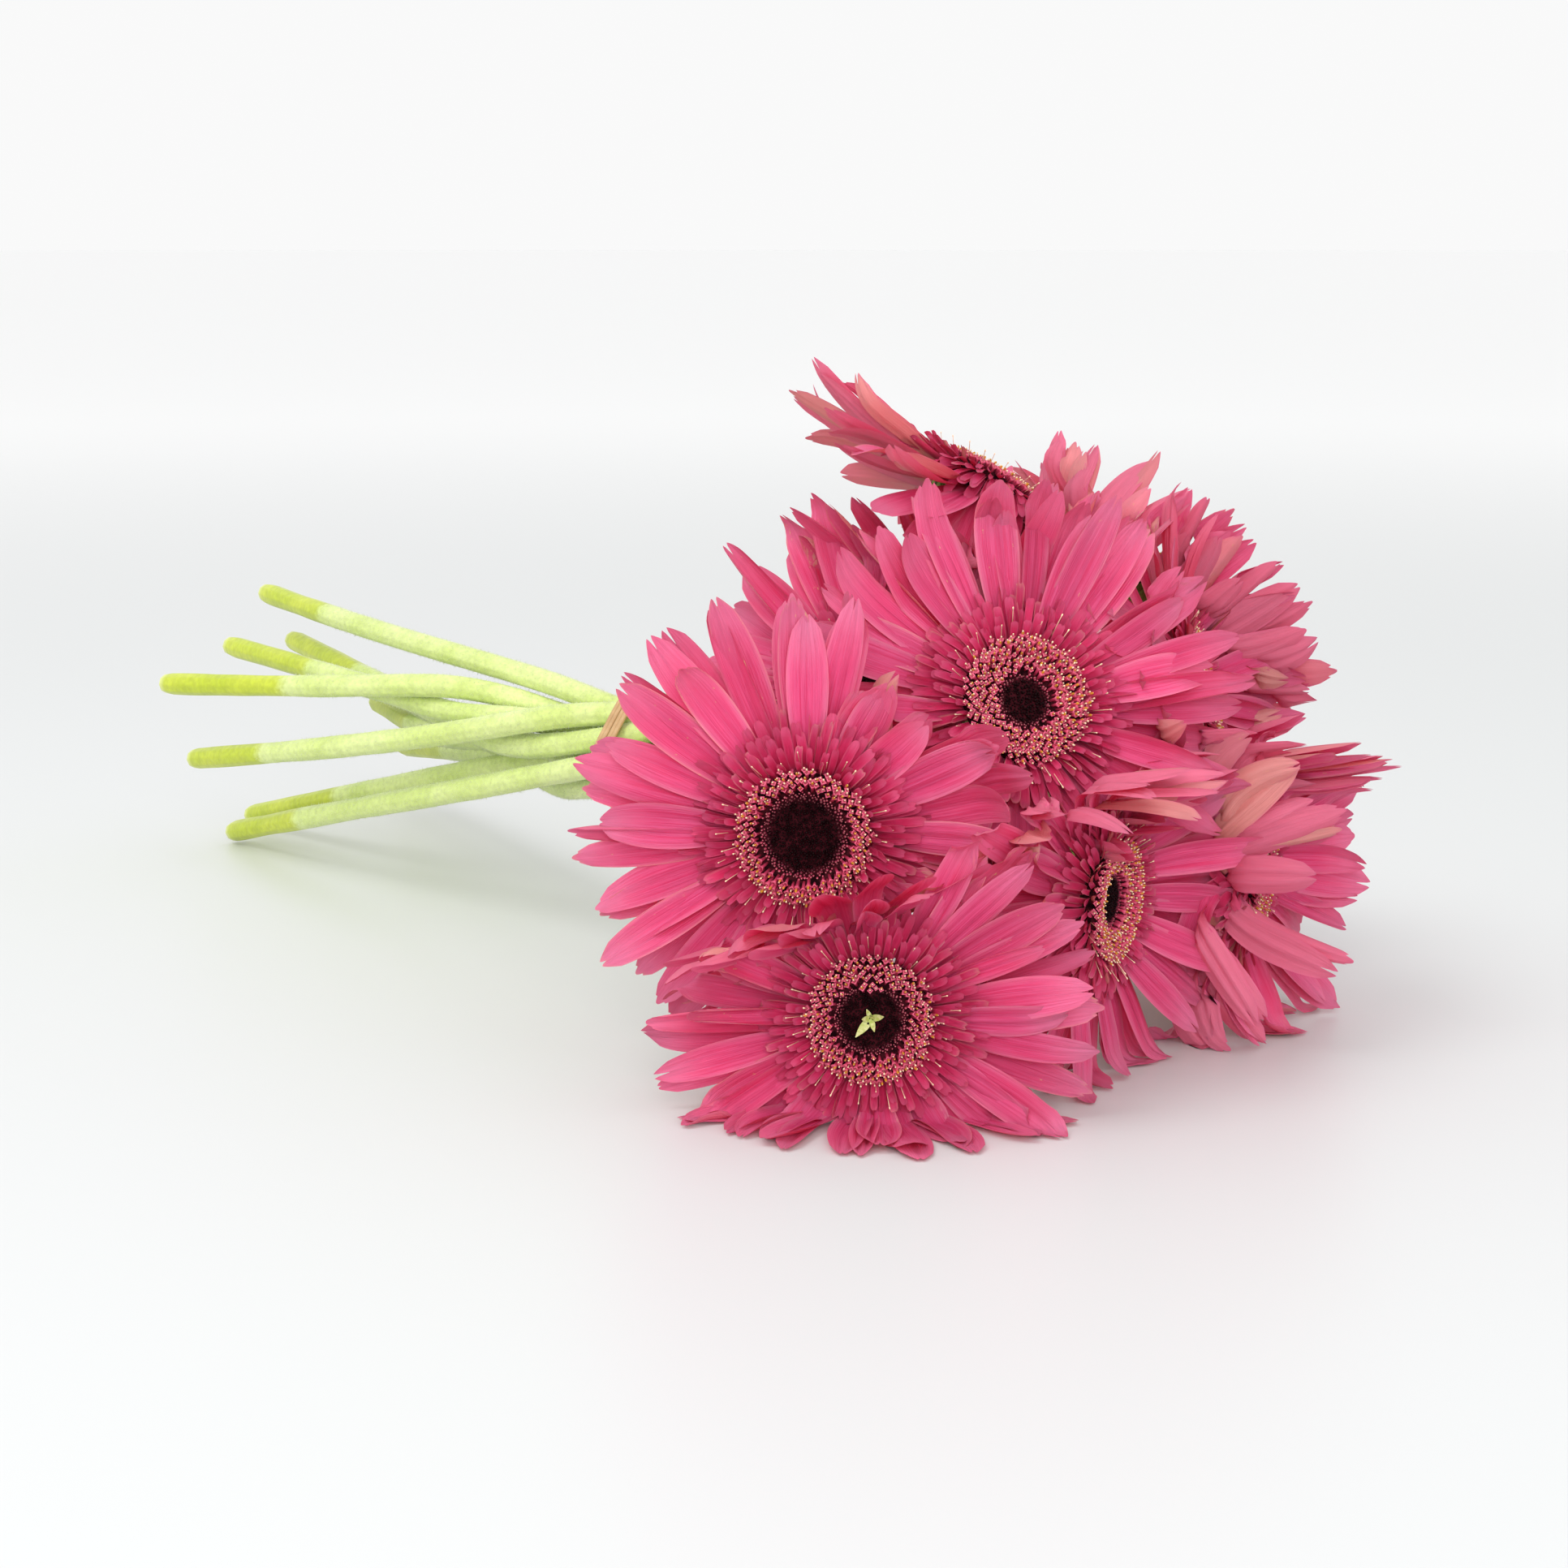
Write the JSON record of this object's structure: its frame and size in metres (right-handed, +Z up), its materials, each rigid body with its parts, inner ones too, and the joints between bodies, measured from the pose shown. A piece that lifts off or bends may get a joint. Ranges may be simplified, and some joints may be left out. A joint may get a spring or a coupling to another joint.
{
  "type": "bunch of gerberas",
  "caption": "Cut pink gerbera flowers on long green stems, tied in a bunch that lies on a table with its heads to one end.",
  "frame": {"origin": "centre of the bunch's box, on the surface it lies on", "axes": "+X along the bunch from the cut stem ends to the flower heads, +Z up"},
  "size_m": [0.4412, 0.256, 0.1648],
  "materials": {
    "stem": "fresh green plant stem, finely haired, satin",
    "calyx": "fresh green bracts, matte",
    "ray_petal": "thin soft petal, finely ribbed, satin",
    "inner_petal": "thin soft petal, satin",
    "disc": "dense tiny florets, matte",
    "band": "plain natural rubber, matte"
  },
  "bodies": {
    "root": {"stem_01": "stem", "calyx_01": "calyx", "ray_florets_01": "ray_petal", "inner_florets_01": "inner_petal", "disc_01": "disc", "stem_02": "stem", "calyx_02": "calyx", "ray_florets_02": "ray_petal", "inner_florets_02": "inner_petal", "disc_02": "disc", "stem_03": "stem", "calyx_03": "calyx", "ray_florets_03": "ray_petal", "inner_florets_03": "inner_petal", "disc_03": "disc", "stem_04": "stem", "calyx_04": "calyx", "ray_florets_04": "ray_petal", "inner_florets_04": "inner_petal", "disc_04": "disc", "stem_05": "stem", "calyx_05": "calyx", "ray_florets_05": "ray_petal", "inner_florets_05": "inner_petal", "disc_05": "disc", "stem_06": "stem", "calyx_06": "calyx", "ray_florets_06": "ray_petal", "inner_florets_06": "inner_petal", "disc_06": "disc", "stem_07": "stem", "calyx_07": "calyx", "ray_florets_07": "ray_petal", "inner_florets_07": "inner_petal", "disc_07": "disc", "stem_08": "stem", "calyx_08": "calyx", "ray_florets_08": "ray_petal", "inner_florets_08": "inner_petal", "disc_08": "disc", "stem_09": "stem", "calyx_09": "calyx", "ray_florets_09": "ray_petal", "inner_florets_09": "inner_petal", "disc_09": "disc", "stem_10": "stem", "calyx_10": "calyx", "ray_florets_10": "ray_petal", "inner_florets_10": "inner_petal", "disc_10": "disc", "rubber_band": "band"}
  },
  "joints": []
}
